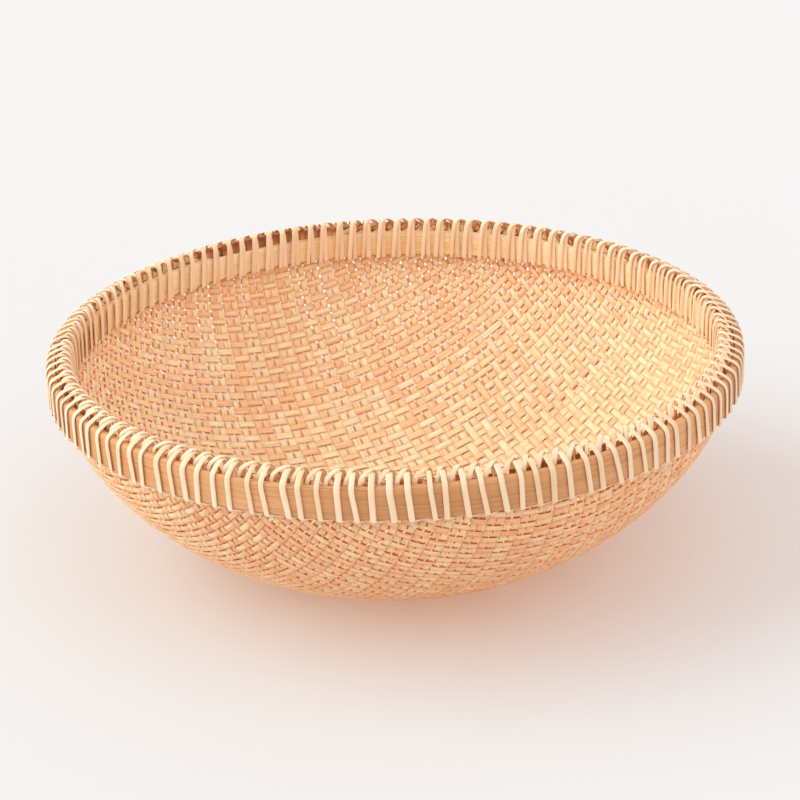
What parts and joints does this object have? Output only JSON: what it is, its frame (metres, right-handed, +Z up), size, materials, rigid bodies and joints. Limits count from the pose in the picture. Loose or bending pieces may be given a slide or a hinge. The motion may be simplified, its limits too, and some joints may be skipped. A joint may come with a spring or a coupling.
{
  "type": "winnowing basket",
  "caption": "Round shallow woven bamboo winnowing basket with a flattened base and a double hoop rim bound with split rattan.",
  "frame": {"origin": "centre of the flat base, on the surface that the basket stands on", "axes": "+Z up through the open mouth; +X and +Y lie in the base, and -Y is the side the picture looks from"},
  "size_m": [0.2502, 0.2502, 0.0786],
  "materials": {
    "bamboo_weave": "smooth split bamboo, satin",
    "bamboo_tan": "satin, fine lengthwise grain",
    "bamboo_pale": "satin, fine lengthwise grain",
    "rattan_outer": "smooth split rattan, slight sheen",
    "rattan_inner": "smooth split rattan, slight sheen"
  },
  "bodies": {
    "root": {"woven_mat": "bamboo_weave", "outer_hoop": "bamboo_tan", "inner_hoop": "bamboo_pale", "outer_lashing_1": "rattan_outer", "outer_lashing_2": "rattan_outer", "outer_lashing_3": "rattan_outer", "outer_lashing_4": "rattan_outer", "outer_lashing_5": "rattan_outer", "outer_lashing_6": "rattan_outer", "outer_lashing_7": "rattan_outer", "outer_lashing_8": "rattan_outer", "inner_lashing_1": "rattan_inner", "inner_lashing_2": "rattan_inner", "inner_lashing_3": "rattan_inner", "inner_lashing_4": "rattan_inner", "inner_lashing_5": "rattan_inner", "inner_lashing_6": "rattan_inner", "inner_lashing_7": "rattan_inner", "inner_lashing_8": "rattan_inner"}
  },
  "joints": []
}
